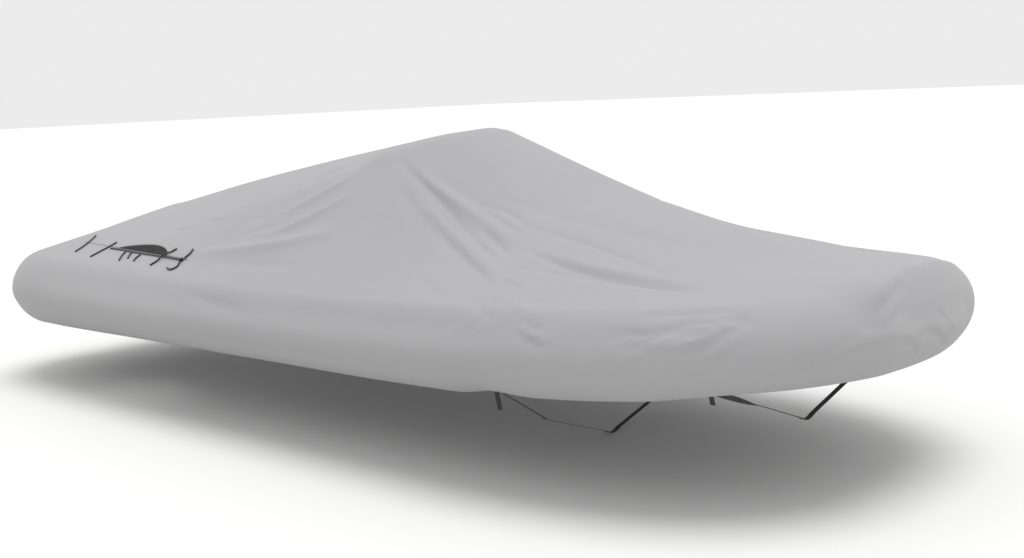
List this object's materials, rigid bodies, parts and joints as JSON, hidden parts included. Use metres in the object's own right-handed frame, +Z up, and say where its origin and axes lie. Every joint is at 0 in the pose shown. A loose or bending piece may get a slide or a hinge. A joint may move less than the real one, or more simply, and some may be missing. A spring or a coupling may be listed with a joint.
{
  "type": "fitted boat cover",
  "caption": "Grey fitted storage cover for an inflatable boat: a peaked cloth sheet wrapped under round side tubes, laced slits over them and webbing straps below.",
  "frame": {"origin": "under the middle of the cover, level with the underside of the aft strap, its lowest point", "axes": "+X towards the bow, +Y to port, +Z up"},
  "size_m": [6.1817, 2.4298, 1.5282],
  "materials": {
    "cloth": "matt woven coated polyester",
    "webbing": "matt black webbing",
    "cord": "matt black braided cord",
    "plastic": "black moulded plastic, fine texture"
  },
  "bodies": {
    "root": {"cover_shell": "cloth", "hem_tab_aft_port": "webbing", "hem_tab_aft_starboard": "webbing", "hem_tab_bow_port": "webbing", "hem_tab_bow_starboard": "webbing", "knot_port": "cord", "knot_starboard": "cord", "knot_tail_in_port": "cord", "knot_tail_in_starboard": "cord", "knot_tail_out_port": "cord", "knot_tail_out_starboard": "cord", "short_tie_1_port": "cord", "short_tie_1_starboard": "cord", "short_tie_2_port": "cord", "short_tie_2_starboard": "cord", "short_tie_3_port": "cord", "short_tie_3_starboard": "cord", "slit_cord_port": "cord", "slit_cord_starboard": "cord", "strap_aft": "webbing", "strap_aft_port_buckle": "plastic", "strap_aft_port_hem_tab": "webbing", "strap_aft_starboard_buckle": "plastic", "strap_aft_starboard_hem_tab": "webbing", "strap_forward": "webbing", "strap_forward_port_buckle": "plastic", "strap_forward_port_hem_tab": "webbing", "strap_forward_starboard_buckle": "plastic", "strap_forward_starboard_hem_tab": "webbing", "tie_aft_port": "cord", "tie_aft_starboard": "cord", "tie_forward_port": "cord", "tie_forward_starboard": "cord", "tie_middle_port": "cord", "tie_middle_starboard": "cord"}
  },
  "joints": []
}
